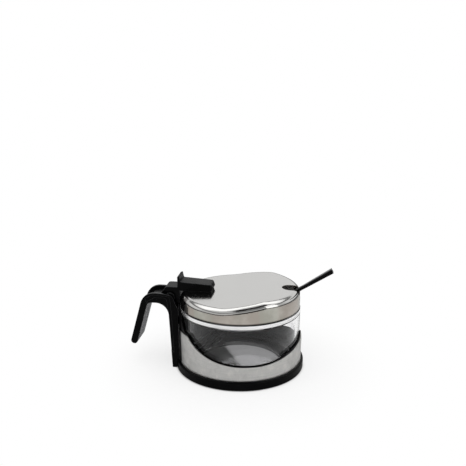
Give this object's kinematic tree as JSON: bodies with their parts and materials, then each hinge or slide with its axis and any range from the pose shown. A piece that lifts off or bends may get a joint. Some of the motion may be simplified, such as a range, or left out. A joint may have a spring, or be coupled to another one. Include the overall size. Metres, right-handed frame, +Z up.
{
  "type": "glass sugar jar",
  "caption": "Squat glass jar in a black moulded frame with a wavy steel band, an open hook handle, a hinged steel lid with a thumb lever, and a spoon through the lid's slot.",
  "frame": {"origin": "centre of the base ring, on the surface that the jar stands on", "axes": "+Z up; -X towards the handle and the hinge, +X towards the spoon's slot"},
  "size_m": [0.148, 0.096, 0.0771],
  "materials": {
    "base_frame": "satin black moulded plastic",
    "band": "brushed along the band",
    "jar": "clear pressed glass",
    "handle": "satin black moulded plastic",
    "lid": "satin top and polished wall",
    "lever": "satin black moulded plastic",
    "spoon": "satin black moulded plastic"
  },
  "bodies": {
    "holder": {"base_frame": "base_frame", "band": "band", "jar": "jar", "handle": "handle", "spoon": "spoon"},
    "lid": {"lid": "lid", "lever": "lever"}
  },
  "joints": [
    {"name": "lid_hinge", "type": "hinge", "parent": "holder", "child": "lid", "pos_m": [-0.0509, 0, 0.0531], "axis": [0, -1, 0], "range_deg": [0, 85]}
  ]
}
